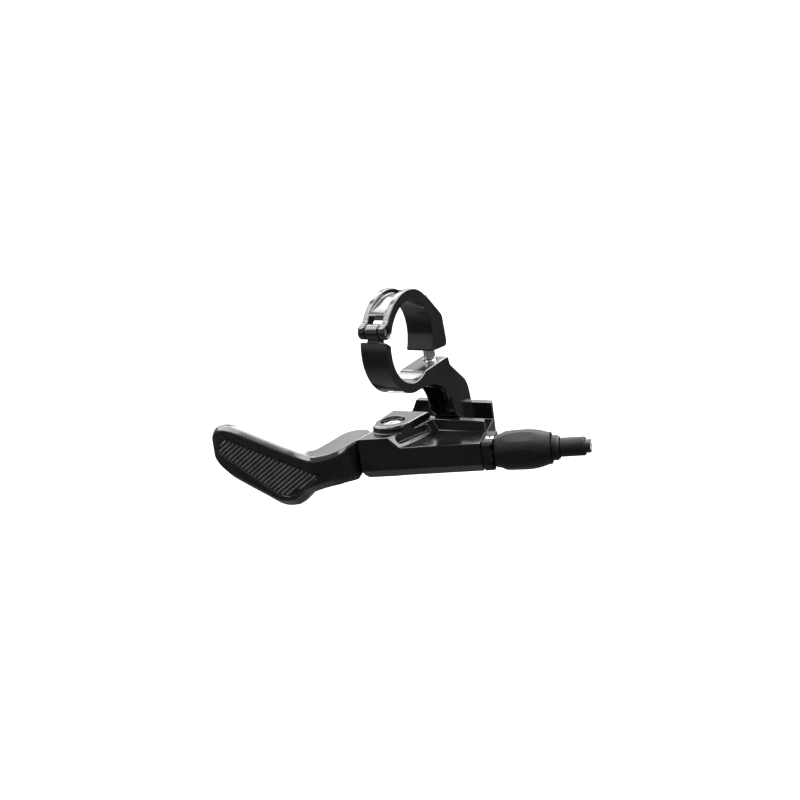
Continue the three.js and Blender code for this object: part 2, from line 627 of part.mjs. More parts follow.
const LEVER_STATIONS = [
  armStation([-9.1, -9.8], [-5.7, -2.4], -28.9, -40.4, 5.0),
  armStation([-9.8, -10.9], [-7.6, 0.9], -29.0, -40.3, 4.4),
  armStation([-11.2, -13.0], [-10.6, 2.3], -29.3, -40.0, 3.4),
  armStation([-13.4, -15.4], [-14.2, 1.4], -29.7, -39.8, 2.2),
  armStation([-16.4, -17.0], [-17.6, -4.4], -30.1, -39.9, 1.0),
  armStation([-19.8, -17.3], [-20.4, -9.6], -30.3, -40.7, 0.2),
  paddleStation(4.5, 4.6, -30.0, -42.7),
  paddleStation(8.5, 3.9, -29.2, -45.7),
  paddleStation(13.5, 3.6, -28.2, -46.4),
  paddleStation(20, 3.5, -26.7, -44.4),
  paddleStation(27, 3.5, -25.1, -42.0),
  paddleStation(32, 3.4, -24.5, -40.1),
  paddleStation(35.6, 3.1, -25.4, -37.7, 0.1),
  paddleStation(37.4, 2.7, -27.6, -35.6, 0.6),
  paddleStation(38.1, 2.3, -30.2, -33.6, 1.3),
];

// Section at one station: a rectangle with its four corners cut, the near ones deepest.
// Where the bottom rises, its near edge also leans away from the housing.
const leverSection = (near, far, top, bottom, rise) => {
  const width = near.distanceTo(far);
  const height = top - bottom;
  const across = new THREE.Vector3().subVectors(far, near).normalize();
  const small = Math.min(0.7, width * 0.28, height * 0.2);
  const brow = Math.min(1.25, width * 0.4, height * 0.22);
  const large = Math.min(1.7, width * 0.4, height * 0.25);
  const lip = large * (1 - 0.14 * rise);
  const lean = new THREE.Vector3(-0.2 * rise, 0, 0);
  const at = (side, z) => near.clone().addScaledVector(across, side).setZ(z);
  return [
    at(0, top - brow), at(0, bottom + large * 1.3).addScaledVector(lean, 0.8), at(lip, bottom).add(lean),
    at(width - small, bottom + rise), at(width, bottom + rise + small),
    at(width, top - small), at(width - small, top), at(brow * 0.7, top),
  ];
};

const leverBlade = () => {
  const rail = (pick) => new THREE.CatmullRomCurve3(LEVER_STATIONS.map(pick), false, 'centripetal');
  const near = rail((s) => new THREE.Vector3(s.near[0], s.near[1], 0));
  const far = rail((s) => new THREE.Vector3(s.far[0], s.far[1], 0));
  const heights = rail((s) => new THREE.Vector3(s.top, s.bottom, s.rise));
  const steps = 56;
  const loops = Array.from({ length: steps + 1 }, (_, i) => {
    const t = i / steps;
    const h = heights.getPoint(t);
    return leverSection(near.getPoint(t), far.getPoint(t), h.x, h.y, h.z);
  });
  return skin(loops.reverse());
};

const PAD_CORNERS = [[33.4, -27.6], [35.3, -32.6], [14.2, -42.9], [10.6, -42.9], [7.4, -41.6], [-2.0, -35.4]];

const lever = () => {
  const hub = disc(0, 0, HUB_R, WEB.bottom, WEB.top, 40);
  const core = disc(0, 0, HUB_CORE_R, WEB.top - 1, ROOF_UNDER - 1, 36);
  const web = prism([
    [-10.5, FRONT_Y + 2.0], [-2.2, FRONT_Y + 2.2], [2, -3.6], [0, HUB_R - 0.1], [-6.2, 1.6], [-10.5, 1.6],
  ], WEB.bottom, WEB.top);
  const fork = disc(ANCHOR.u, ANCHOR.y, ANCHOR_R + 0.7, WEB.bottom, WEB.top, 28);
  const ribOutline = [[-2.2, -7.1], [ANCHOR.u, ANCHOR.y - ANCHOR_R - 0.6], [4.2, -3.2], [0, 0]];
  const forkRib = prism(ribOutline, WEB.bottom, WEB.top);
  let solid = join(hub, core, web, fork, forkRib);
  const slotBlock = toSolid(box(-3.4, 9, -9, 9, CABLE_Z - SLOT_HALF, CABLE_Z + SLOT_HALF));
  const slot = cut(slotBlock, disc(0, 0, HUB_R - 0.7, -50, -20, 40));
  solid = solid.subtract(slot);
  solid = cut(solid, disc(ANCHOR.u, ANCHOR.y, ANCHOR_R + GAP, -50, -20, 28));
  solid = solid.add(toSolid(leverBlade()));
  solid = cut(solid, disc(0, 0, HUB_BORE_R, -50, -20, 36));
  // hole for the spring's tail
  solid = cut(solid, disc(-SPRING_R, 0, 0.6, WEB.top - 1.5, WEB.top + 0.5, 12));
  return toGeometry(cut(solid, onPaddle(outline(PAD_CORNERS), -3, PAD_DEPTH)));
};

// Ribbed insert, its ribs slanting up towards the housing.
const thumbPad = () => {
  const shape = outline(inset(PAD_CORNERS, FIT * 1.6));
  const base = toSolid(onPaddle(shape, 0.55, PAD_DEPTH - FIT));
  const low = -46;
  const high = -22;
  const run = (high - low) / Math.tan(RIB.slant);
  const half = RIB.half / Math.sin(RIB.slant);
  const ribs = [];
  for (let s = -18; s < 62; s += RIB.pitch) {
    const rib = outline([[s - half, low], [s + half, low], [s + half - run, high], [s - half - run, high]]);
    ribs.push(onPaddle(rib, 0.15, 0.6));
  }
  const field = onPaddle(outline(inset(PAD_CORNERS, 0.9)), 0, 1);
  return toGeometry(base.add(join(...ribs).intersect(toSolid(field))));
};

// ---------------------------------------------------------------- cable anchor and cable

const anchorBarrel = () => {
  let solid = toSolid(disc(0, 0, ANCHOR_R, WEB.bottom + 0.1, WEB.top - 0.1, 24));
  solid = cut(solid, rod(WIRE_R + 0.15, -6, 6, 16).translate(0, -CABLE_Y, 0));
  solid = cut(solid, disc(0, 0, 0.95, WEB.bottom - 1, CABLE_Z - 0.2, 20));
  return toGeometry(solid).translate(ANCHOR.u, ANCHOR.y, 0);
};

const pinchScrew = () => {
  const bottom = WEB.bottom + 0.2;
  const solid = toSolid(disc(0, 0, 0.85, bottom, CABLE_Z - WIRE_R - 0.1, 18));
  const socket = disc(0, 0, 0.5, bottom - 1, bottom + 0.7, 6);
  return toGeometry(cut(solid, socket)).translate(ANCHOR.u, ANCHOR.y, 0);
};

const innerCable = () => rod(WIRE_R, ANCHOR.u - 2.6, HOUSING.end - 0.3, 12);
const cableTip = () => tube(0.8, WIRE_R + 0.08, ANCHOR.u - 2.9, ANCHOR.u - 1.7, 16);

// ---------------------------------------------------------------- barrel adjuster

const adjusterSeat = () => {
  const section = outline([
    [FRONT_Y, DECK_TOP - 0.9], [FRONT_Y, BASE + 2.3], [FRONT_Y + 1.5, BASE], [0.6, BASE],
    [1.2, BASE + 0.8], [1.2, DECK_TOP - 0.7], [0.4, DECK_TOP], [FRONT_Y + 0.8, DECK_TOP],
  ]);
  let solid = toSolid(acrossBar(section, SEAT.end - SEAT.start, (SEAT.start + SEAT.end) / 2));
  solid = solid.add(toSolid(tube(3.1, STEM.r + 0.25, 17.5, SEAT.start + 1)));
  solid = cut(solid, rod(STEM.r + 0.3, 10, 40));
  solid = cut(solid, rod(0.95, SEAT.end - 2.2, SEAT.end + 1, 16).translate(0, 0, CLICK_ARM));
  const notch = (angle) => new THREE.BoxGeometry(1.0, 1.6, 3.0).translate(SEAT.end, 0, 4.2)
    .rotateX(angle).translate(0, CABLE_Y, CABLE_Z);
  const notches = [60, 120, 180, 240, 300].map((deg) => notch(THREE.MathUtils.degToRad(deg)));
  return toGeometry(cut(solid, ...notches));
};

const clickBall = () =>
  new THREE.SphereGeometry(0.75, 14, 10).translate(SEAT.end - 0.55, CABLE_Y, CABLE_Z + CLICK_ARM);
const clickSpring = () => tube(0.7, 0.35, SEAT.end - 2.1, SEAT.end - 1.4, 14).translate(0, 0, CLICK_ARM);

// Grip with a belly, six soft flats, a chamfered waist at the seat and a flat end at the collar.
const barrelAdjuster = () => {
  const { start, length, waistR, bellyR, flatR, boreR } = BARREL;
  const end = start + length;
  const belly = Array.from({ length: 9 }, (_, i) => {
    const t = i / 8;
    const drop = 0.9 * (2 * Math.max(0, t - 0.42)) ** 2 + 0.25 * (1 - t) ** 3;
    return [bellyR - drop, start + 2.9 + t * (length - 3.6)];
  });
  const profile = [
    [STEM.boreR, start - STEM.length], [STEM.r, start - STEM.length], [STEM.r, start], [waistR - 0.3, start],
    [waistR, start + 0.3], [waistR, start + 1.1], ...belly, [boreR + 1.6, end],
    [boreR, end], [boreR, end - 10.6], [STEM.boreR, end - 10.6], [STEM.boreR, start - STEM.length],
  ];
  const cornerR = flatR / Math.cos(Math.PI / 6);
  const flats = rod(cornerR, start - STEM.length - 1, end + 1, 6);
  return toGeometry(toSolid(onCable(lathe(profile, 60))).intersect(toSolid(flats)));
};

const ferruleCollar = () => {
  const { start, end, r } = COLLAR;
  const profile = [
    [2.15, start - 9.6], [2.6, start - 9.6], [2.6, start], [r, start], [r, end - 0.7], [r - 0.6, end],
    [2.15, end], [2.15, start - 9.6],
  ];
  return onCable(lathe(profile, 36));
};

const ferruleSleeve = () => {
  const { start, end, r } = SLEEVE;
  const profile = [[2.15, start], [r, start], [r, end - 0.3], [r - 0.25, end], [2.15, end], [2.15, start]];
  return onCable(lathe(profile, 32));
};

const housingJacket = () => tube(HOUSING.r, HOUSING.linerR + 0.1, COLLAR.start - 9.4, HOUSING.end);
const housingLiner = () => tube(HOUSING.linerR, HOUSING.boreR, COLLAR.start - 9.4, HOUSING.end, 24);

// ---------------------------------------------------------------- assembly

onBar('bracket', bracket(), ANODISED);
onBar('clamp_cap', clampCap(), ANODISED);
onBar('hinge_pin', hingePin(), STEEL);
onBar('clamp_screw', clampScrew(), STEEL);
onBar('screw_washer', screwWasher(), STEEL);
onBar('rail_bolt', railBolt(), DARK_STEEL);
onBar('rail_washer', railWasher(), STEEL);

inHousing('lever_housing', leverHousing(), ANODISED);
inHousing('hub_cover', hubCover(), ANODISED);
COVER_SCREWS.forEach(([u, y], i) => inHousing(`cover_screw_${i + 1}`, coverScrew(u, y), STEEL));
inHousing('pivot_bolt', pivotBolt(), STEEL);
inHousing('pivot_nut', pivotNut(), STEEL);
inHousing('pivot_sleeve', pivotSleeve(), STEEL);
inHousing('upper_washer', upperWasher(), POLYMER);
inHousing('lower_washer', lowerWasher(), POLYMER);

inHousing('lever', lever(), ANODISED);
inHousing('thumb_pad', thumbPad(), RUBBER);
inHousing('upper_bush', upperBush(), BRONZE);
inHousing('lower_bush', lowerBush(), BRONZE);
inHousing('return_spring', returnSpring(), DARK_STEEL);

inHousing('cable_anchor', anchorBarrel(), STEEL);
inHousing('pinch_screw', pinchScrew(), DARK_STEEL);
inHousing('inner_cable', innerCable(), STEEL);
inHousing('cable_tip', cableTip(), DARK_STEEL);

inHousing('adjuster_seat', adjusterSeat(), PLASTIC);
inHousing('click_ball', clickBall(), STEEL);
inHousing('click_spring', clickSpring(), STEEL);
inHousing('barrel_adjuster', barrelAdjuster(), PLASTIC);
inHousing('ferrule_collar', ferruleCollar(), PLASTIC);
inHousing('ferrule_sleeve', ferruleSleeve(), PLASTIC);
inHousing('housing_jacket', housingJacket(), RUBBER);
inHousing('housing_liner', housingLiner(), POLYMER);

export default shifter;
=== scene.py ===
"""Looks of a thumb lever for a bicycle handlebar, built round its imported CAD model.

Metres, in the model's own frame: the origin is the centre of the bar clamp's bore, +X runs
along the bar, +Z up along the lever's pivot and +Y forward, away from the rider.
"""

import json
import math

import bmesh
import bpy
from mathutils import Matrix, Vector


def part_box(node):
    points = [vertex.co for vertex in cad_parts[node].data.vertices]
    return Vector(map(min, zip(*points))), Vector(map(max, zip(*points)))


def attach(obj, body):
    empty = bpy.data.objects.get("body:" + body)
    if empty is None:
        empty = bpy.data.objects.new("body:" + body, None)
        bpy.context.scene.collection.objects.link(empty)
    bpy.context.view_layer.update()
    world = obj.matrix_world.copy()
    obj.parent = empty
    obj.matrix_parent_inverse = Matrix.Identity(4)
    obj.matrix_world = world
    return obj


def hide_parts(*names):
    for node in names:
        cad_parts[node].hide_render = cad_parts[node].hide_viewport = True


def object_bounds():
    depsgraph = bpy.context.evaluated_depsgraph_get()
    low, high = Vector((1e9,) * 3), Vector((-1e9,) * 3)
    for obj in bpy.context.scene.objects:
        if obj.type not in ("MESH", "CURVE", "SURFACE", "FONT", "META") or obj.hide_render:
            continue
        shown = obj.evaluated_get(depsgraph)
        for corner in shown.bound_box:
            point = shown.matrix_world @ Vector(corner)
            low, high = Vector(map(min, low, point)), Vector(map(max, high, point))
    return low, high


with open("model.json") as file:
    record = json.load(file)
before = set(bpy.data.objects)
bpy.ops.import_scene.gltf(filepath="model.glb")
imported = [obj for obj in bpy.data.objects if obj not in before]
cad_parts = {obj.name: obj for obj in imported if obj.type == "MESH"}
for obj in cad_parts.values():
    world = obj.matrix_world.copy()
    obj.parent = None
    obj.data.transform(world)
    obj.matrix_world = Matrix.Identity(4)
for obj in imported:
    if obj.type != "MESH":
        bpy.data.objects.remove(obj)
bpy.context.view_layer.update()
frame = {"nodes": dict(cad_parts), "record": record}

MM = 0.001
BODIES = frame["record"]["behaviour"]["bodies"]
NODE_BODY = {node: body for body, nodes in BODIES.items() for node in nodes}
SLOTS = {row["node"]: row["material_slot"] for row in frame["record"]["subparts"]}


# ---------------------------------------------------------------- camera

CAMERA_AZIMUTH = math.radians(31.3)
CAMERA_ELEVATION = math.radians(17.4)
CAMERA_ROLL = math.radians(7.9)
CAMERA_DISTANCE = 0.6
CAMERA_OFFSET = (0.161 * MM, -15.88 * MM)    # of the view's centre from the bar's, right and up
FRAME_WIDTH = 214.938 * MM                   # what the view spans at the bar's centre
SENSOR = 36.0


def view_axes():
    """The camera's right, up and back, which points from the part towards the camera."""
    azimuth, elevation, roll = CAMERA_AZIMUTH, CAMERA_ELEVATION, CAMERA_ROLL
    back = Vector((
        math.sin(azimuth) * math.cos(elevation),
        -math.cos(azimuth) * math.cos(elevation),
        math.sin(elevation),
    ))
    level = Vector((math.cos(azimuth), math.sin(azimuth), 0))
    upright = back.cross(level)
    right = math.cos(roll) * level - math.sin(roll) * upright
    up = math.sin(roll) * level + math.cos(roll) * upright
    return right, up, back


def add_camera():
    right, up, back = view_axes()
    data = bpy.data.cameras.new("camera")
    data.sensor_width = SENSOR
    data.lens = SENSOR * CAMERA_DISTANCE / FRAME_WIDTH
    data.clip_start = 0.01
    data.clip_end = 20
    camera = bpy.data.objects.new("camera", data)
    bpy.context.scene.collection.objects.link(camera)
    rotation = Matrix((right, up, back)).transposed().to_4x4()
    place = right * CAMERA_OFFSET[0] + up * CAMERA_OFFSET[1] + back * CAMERA_DISTANCE
    camera.matrix_world = Matrix.Translation(place) @ rotation
    bpy.context.scene.camera = camera


# ---------------------------------------------------------------- materials

def new_material(name):
    """A node material with its shader, and a function that adds one node to it."""
    material = bpy.data.materials.new(name)
    material.use_nodes = True
    tree = material.node_tree
    shader = tree.nodes["Principled BSDF"]

    def add(kind, links=None, **values):
        node = tree.nodes.new(kind)
        for key, value in values.items():
            if key in node.inputs:
                node.inputs[key].default_value = value
            else:
                setattr(node, key, value)
        for socket, source in (links or {}).items():
            tree.links.new(source, node.inputs[socket])
        return node

    return material, shader, tree, add


def noise(add, place, scale, detail=4.0, roughness=0.55):
    values = {"Scale": scale, "Detail": detail, "Roughness": roughness}
    return add("ShaderNodeTexNoise", {"Vector": place}, **values).outputs["Fac"]


def remap(add, value, low, high, to_low, to_high):
    """The value's stretch from low to high, carried over to to_low and to_high."""
    limits = {"From Min": low, "From Max": high, "To Min": to_low, "To Max": to_high}
    return add("ShaderNodeMapRange", {"Value": value}, **limits).outputs["Result"]


MIX_A, MIX_B, MIX_RESULT = 6, 7, 2    # the colour sockets of a mix node, whose names repeat


def mix_colour(add, factor, first, second):
    """From the first colour, at factor 0, to the second, at 1."""
    node = add("ShaderNodeMix", data_type="RGBA")
    tree = node.id_data
    tree.links.new(factor, node.inputs["Factor"])
    for socket, colour in ((node.inputs[MIX_A], first), (node.inputs[MIX_B], second)):
        if isinstance(colour, tuple):
            socket.default_value = (*colour, 1)
        else:
            tree.links.new(colour, socket)
    return node.outputs[MIX_RESULT]


def painted_edge_highlight(add, place, amount):
    """Painted highlight along sharp outer edges: up to amount there, broken up by noise, and 0 elsewhere.
    """
    pointiness = add("ShaderNodeNewGeometry").outputs["Pointiness"]
    edge = remap(add, pointiness, 0.53, 0.60, 0.0, 1.0)
    patches = remap(add, noise(add, place, 900), 0.45, 0.7, 0.0, amount)
    node = add("ShaderNodeMath", {0: edge, 1: patches}, operation="MULTIPLY")
    return node.outputs["Value"]


def anodised():
    """Gloss black anodising on blasted and polished alloy."""
    material, shader, tree, add = new_material("gloss_black_anodised")
    place = add("ShaderNodeTexCoord").outputs["Object"]
    broad = noise(add, place, 120, 5)
    fine = noise(add, place, 5200, 3, 0.6)
    cloud = remap(add, broad, 0.35, 0.7, 0, 1)
    tint = mix_colour(add, cloud, (0.0016, 0.0016, 0.0019), (0.0032, 0.0033, 0.0037))
    # painted highlight: sharp edges turn pale grey, standing in for light caught by their rounds
    colour = mix_colour(add, painted_edge_highlight(add, place, 0.12), tint, (0.06, 0.06, 0.063))
    tree.links.new(colour, shader.inputs["Base Color"])
    smudge = remap(add, noise(add, place, 260, 6), 0.3, 0.75, 0.12, 0.19)
    tree.links.new(smudge, shader.inputs["Roughness"])
    bump = add("ShaderNodeBump", {"Height": fine}, Strength=0.02, Distance=0.00003)
    tree.links.new(bump.outputs["Normal"], shader.inputs["Normal"])
    shader.inputs["IOR"].default_value = 1.45
    return material


def plastic():
    """Matte black moulded nylon with a fine spark-eroded grain."""
    material, shader, tree, add = new_material("matte_black_nylon")
    place = add("ShaderNodeTexCoord").outputs["Object"]
    grain = add("ShaderNodeTexVoronoi", {"Vector": place}, Scale=4200.0).outputs["Distance"]
    broad = noise(add, place, 180, 4)
    cloud = remap(add, broad, 0.3, 0.7, 0, 1)
    tint = mix_colour(add, cloud, (0.0012, 0.0012, 0.0013), (0.0024, 0.0024, 0.0026))
    # painted highlight: sharp edges turn a lighter grey, standing in for light caught by their rounds
    colour = mix_colour(add, painted_edge_highlight(add, place, 0.3), tint, (0.02, 0.02, 0.02))
    tree.links.new(colour, shader.inputs["Base Color"])
    tree.links.new(remap(add, broad, 0.3, 0.7, 0.42, 0.54), shader.inputs["Roughness"])
    bump = add("ShaderNodeBump", {"Height": grain}, Strength=0.22, Distance=0.00003)
    tree.links.new(bump.outputs["Normal"], shader.inputs["Normal"])
    shader.inputs["Specular IOR Level"].default_value = 0.12
    return material


def rubber(name, low, high):
    """Dark elastomer with a faint cloudiness, from grey low to grey high."""
    material, shader, tree, add = new_material(name)
    place = add("ShaderNodeTexCoord").outputs["Object"]
    speck = noise(add, place, 3600, 3)
    broad = noise(add, place, 300, 5)
    cloud = remap(add, broad, 0.35, 0.7, 0, 1)
    colour = mix_colour(add, cloud, (low, low, low), (high, high, high))
    tree.links.new(colour, shader.inputs["Base Color"])
    tree.links.new(remap(add, broad, 0.3, 0.7, 0.24, 0.34), shader.inputs["Roughness"])
    bump = add("ShaderNodeBump", {"Height": speck}, Strength=0.06, Distance=0.00003)
    tree.links.new(bump.outputs["Normal"], shader.inputs["Normal"])
    shader.inputs["IOR"].default_value = 1.35
    return material


def metal(name, clean, stained, smooth, rough, staining):
    """Turned metal with faint tool marks, smooth to rough, and small stained patches."""
    material, shader, tree, add = new_material(name)
    place = add("ShaderNodeTexCoord").outputs["Object"]
    patches = remap(add, noise(add, place, 420, 6), 0.42, 0.72, 0, staining)
    colour = mix_colour(add, patches, clean, stained)
    tree.links.new(colour, shader.inputs["Base Color"])
    stretch = add("ShaderNodeMapping", {"Vector": place})
    stretch.inputs["Scale"].default_value = (1, 1, 9)
    marks = noise(add, stretch.outputs["Vector"], 900, 3)
    tree.links.new(remap(add, marks, 0.3, 0.7, smooth, rough), shader.inputs["Roughness"])
    bump = add("ShaderNodeBump", {"Height": marks}, Strength=0.08, Distance=0.00003)
    tree.links.new(bump.outputs["Normal"], shader.inputs["Normal"])
    shader.inputs["Metallic"].default_value = 1.0
    return material


def polymer():
    """Off-white acetal, a little translucent."""
    material, shader, tree, add = new_material("white_acetal")
    place = add("ShaderNodeTexCoord").outputs["Object"]
    broad = noise(add, place, 500, 4)
    cloud = remap(add, broad, 0.3, 0.7, 0, 1)
    colour = mix_colour(add, cloud, (0.26, 0.25, 0.23), (0.32, 0.31, 0.29))
    tree.links.new(colour, shader.inputs["Base Color"])
    tree.links.new(remap(add, broad, 0.3, 0.7, 0.38, 0.5), shader.inputs["Roughness"])
    shader.inputs["Subsurface Weight"].default_value = 0.08
    shader.inputs["Subsurface Scale"].default_value = 0.0006
    return material


MATERIALS = {
    "anodised_alloy": anodised(),
    "black_plastic": plastic(),
    "rubber": rubber("dark_rubber", 0.0015, 0.0030),
    "steel": metal("bright_plated_steel", (0.72, 0.73, 0.75), (0.42, 0.42, 0.43), 0.14, 0.26, 0.45),
    "dark_steel": metal("black_oxide_steel", (0.075, 0.077, 0.082), (0.16, 0.13, 0.11), 0.26, 0.42, 0.35),
    "bronze": metal("sintered_bronze", (0.52, 0.36, 0.19), (0.22, 0.14, 0.08), 0.36, 0.52, 0.6),
    "polymer": polymer(),
}
# Lighter rubber for the ribs: a painted highlight that makes the whole rib read as a lit line on the dark
# plate.
RIB_HIGHLIGHT_RUBBER = rubber("rubber_lightened_as_rib_highlight", 0.020, 0.036)


# ---------------------------------------------------------------- mesh tools

def piece_from(bm, name, body, slot):
    """An object of the bmesh, which is freed, riding on a body in its slot's material."""
    mesh = bpy.data.meshes.new(name)
    bm.to_mesh(mesh)
    bm.free()
    piece = bpy.data.objects.new(name, mesh)
    bpy.context.scene.collection.objects.link(piece)
    mesh.materials.append(MATERIALS[slot])
    for polygon in mesh.polygons:
        polygon.use_smooth = True
    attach(piece, body)
    return piece


def join_rings(bm, rings):
    """Faces between each ring of corners and the next, and one across each end."""
    for lower, upper in zip(rings, rings[1:]):
        count = len(lower)
        for k in range(count):
            after = (k + 1) % count
            bm.faces.new((lower[k], lower[after], upper[after], upper[k]))
    bm.faces.new(rings[0])
    bm.faces.new(rings[-1])


def clean_copy(node):
    """The node's mesh with its flat faces made whole again."""
    bm = bmesh.new()
    bm.from_mesh(frame["nodes"][node].data)
    bmesh.ops.remove_doubles(bm, verts=bm.verts, dist=1e-6)
    bmesh.ops.dissolve_degenerate(bm, edges=bm.edges, dist=2e-6)
    bmesh.ops.dissolve_limit(bm, angle_limit=math.radians(0.6), verts=bm.verts, edges=bm.edges)
    return bm


def keep_flats(piece):
    """Large faces shade flat, and only the rounds between them shade round."""
    weighted = piece.modifiers.new("flat_faces_stay_flat", "WEIGHTED_NORMAL")
    weighted.keep_sharp = True
    weighted.weight = 80


def finish_edges(piece, width, segments, sharp):
    """Edges that turn by more than sharp degrees are rounded by width."""
    bevel = piece.modifiers.new("rounded_edges", "BEVEL")
    bevel.width = width
    bevel.segments = segments
    bevel.limit_method = "ANGLE"
    bevel.angle_limit = math.radians(sharp)
    bevel.use_clamp_overlap = False
    bevel.miter_outer = "MITER_ARC"
    keep_flats(piece)


def refined(node, width):
    """A CAD node with every sharp edge rounded by width."""
    piece = piece_from(clean_copy(node), f"{node}_finished", NODE_BODY[node], SLOTS[node])
    finish_edges(piece, width, segments=3, sharp=28)
    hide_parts(node)


# ---------------------------------------------------------------- turned parts

TURN_STEPS = 72                   # points round one ring of the mesh
TURNED_EDGE = 0.06 * MM           # round on a turned part's edges

THREAD_PITCH = 0.7 * MM
THREAD_DEPTH = 0.2 * MM
THREAD_ROWS = 8                   # rings of the mesh in one turn of the thread

SHANK_RADIUS = 1.6 * MM
SHANK_NECK = 11 * MM              # plain length below the head
THREAD_RUNOUT = 0.2 * MM
TIP_RADIUS = 1.3 * MM
TIP_FLAT = 0.8 * MM
TIP_LENGTH = 0.5 * MM
HEAD_HEIGHT = 3.0 * MM
HEAD_EDGE = 0.35 * MM             # size of the round on the head's edge
HEAD_CORNER = 0.1 * MM            # how far the middle of that round lies inside the head's box
SOCKET_RIM = 1.85 * MM
SOCKET_RADIUS = 1.3 * MM          # from the middle to a flat
SOCKET_DEPTH = 1.9 * MM
DRILL_DEPTH = 2.1 * MM            # of the cone that the socket's drill leaves
DRILL_TIP = 0.3 * MM


def turned_reach(radius, height, kind, angle):
    """How far a round, hexagon or thread ring stands out from the axis at an angle."""
    if kind == "hexagon":
        return radius / math.cos((angle % (math.pi / 3)) - math.pi / 6)
    if kind == "thread":
        phase = (height / THREAD_PITCH - angle / (2 * math.pi)) % 1
        return radius - THREAD_DEPTH * abs(2 * phase - 1)
    return radius


def turned(name, node, axis_point, rows):
    """A part turned about Z from (radius, height, kind) rows, in place of a CAD node."""
    bm = bmesh.new()
    rings = []
    for radius, height, kind in rows:
        ring = []
        for step in range(TURN_STEPS):
            angle = 2 * math.pi * step / TURN_STEPS
            reach = turned_reach(radius, height, kind, angle)
            spot = Vector((reach * math.cos(angle), reach * math.sin(angle), height))
            ring.append(bm.verts.new(axis_point + spot))
        rings.append(ring)
    join_rings(bm, rings)
    bmesh.ops.recalc_face_normals(bm, faces=bm.faces)
    piece = piece_from(bm, name, NODE_BODY[node], SLOTS[node])
    finish_edges(piece, TURNED_EDGE, segments=2, sharp=34)
    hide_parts(node)


def clamp_screw():
    """Cap screw with a hexagon socket, threaded below a plain neck."""
    low, high = (Vector(corner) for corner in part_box("clamp_screw"))
    axis_point = Vector(((low.x + high.x) / 2, (low.y + high.y) / 2, 0))
    head = (high.x - low.x) / 2
    top = high.z
    seat = top - HEAD_HEIGHT
    neck = seat - SHANK_NECK
    thread_start = low.z + TIP_LENGTH
    threaded = neck - thread_start
    count = round(threaded / THREAD_PITCH * THREAD_ROWS)
    rows = [
        (TIP_FLAT, low.z, "round"),
        (TIP_RADIUS, low.z, "round"),
    ]
    rows += [(SHANK_RADIUS, thread_start + threaded * k / count, "thread") for k in range(count + 1)]
    rows += [
        (SHANK_RADIUS, neck + THREAD_RUNOUT, "round"),
        (SHANK_RADIUS, seat, "round"),
        (head, seat, "round"),
        (head, top - HEAD_EDGE, "round"),
        (head - HEAD_CORNER, top - HEAD_CORNER, "round"),
        (head - HEAD_EDGE, top, "round"),
        (SOCKET_RIM, top, "round"),
        (SOCKET_RADIUS, top, "hexagon"),
        (SOCKET_RADIUS, top - SOCKET_DEPTH, "hexagon"),
        (DRILL_TIP, top - DRILL_DEPTH, "round"),
    ]
    turned("clamp_screw_finished", "clamp_screw", axis_point, rows)


# ---------------------------------------------------------------- thumb pad

RIB_RADIUS = 0.28 * MM
RIB_PITCH = 1.09 * MM             # across the ribs
RIB_SLANT = math.radians(35)
RIB_MARGIN = 0.3 * MM             # between the ends of the ribs and the pad's outline
RIB_SINK = 0.02 * MM              # of a rib's flat side into the plate
RIB_STEPS = 8                     # of the half round
RIB_END_TURNS = (10, 35, 60, 90)  # degrees, one for each ring of a rib's end
SHORTEST_RIB = 6 * RIB_RADIUS

PAD_PROUD = 0.175 * MM            # of the plate's face over the CAD pad
PAD_LIP = 0.22 * MM               # how far the plate laps over its pocket
LIP_ROOT = 0.12 * MM              # depth below the face at which the lip leaves the sides
LIP_EDGE = 0.05 * MM              # depth of its outer edge
FACE_TAPER = 0.997                # size of the face against the lip's outline

FAR = 1.0                         # metres, well past any outline
PARALLEL = 1e-9                   # slope under which a line never meets a side


def clip_to_outline(point, direction, outline):
    """The stretch of a line inside a convex outline, kept a margin clear of its sides."""
    start, end = -FAR, FAR
    count = len(outline)
    area = sum(outline[k].cross(outline[(k + 1) % count]) for k in range(count))
    turn = 1 if area > 0 else -1
    for k in range(count):
        side = (outline[(k + 1) % count] - outline[k]).normalized()
        inward = Vector((-side.y, side.x)) * turn
        gap = (point - outline[k]).dot(inward) - RIB_MARGIN
        slope = direction.dot(inward)
        if abs(slope) < PARALLEL:
            if gap < 0:
                return None
            continue
        crossing = -gap / slope
        if slope > 0:
            start = max(start, crossing)
        else:
            end = min(end, crossing)
    return (start, end) if end - start > SHORTEST_RIB else None


def pad_plane():
    """The pad's outline, its plane as a point, along, up and out, and its depth along out."""
    bm = clean_copy("thumb_pad")
    back = max(bm.faces, key=lambda side: side.calc_area())
    out = -back.normal
    up = Vector((0, 0, 1))
    along = up.cross(out).normalized()
    origin = back.calc_center_median()
    corners = [vert.co - origin for vert in back.verts]
    outline = [Vector((corner.dot(along), corner.dot(up))) for corner in corners]
    depth = max((vert.co - origin).dot(out) for vert in bm.verts)
    bm.free()
    return outline, (origin, along, up, out), depth


def pad_vert(bm, plane, x, y, z):
    """A vertex at x along, y up and z out of the pad's plane."""
    origin, along, up, out = plane
    return bm.verts.new(origin + along * x + up * y + out * z)


def pad_plate(bm, plane, outline, face):
    """The plate up to its face, with a lip that laps over the pocket."""
    lapped = [corner + corner.normalized() * PAD_LIP for corner in outline]
    levels = (
        (outline, 1, 0),
        (outline, 1, face - LIP_ROOT),
        (lapped, 1, face - LIP_EDGE),
        (lapped, FACE_TAPER, face),
    )
    rings = []
    for corners, size, height in levels:
        flat = [corner * size for corner in corners]
        rings.append([pad_vert(bm, plane, corner.x, corner.y, height) for corner in flat])
    join_rings(bm, rings)


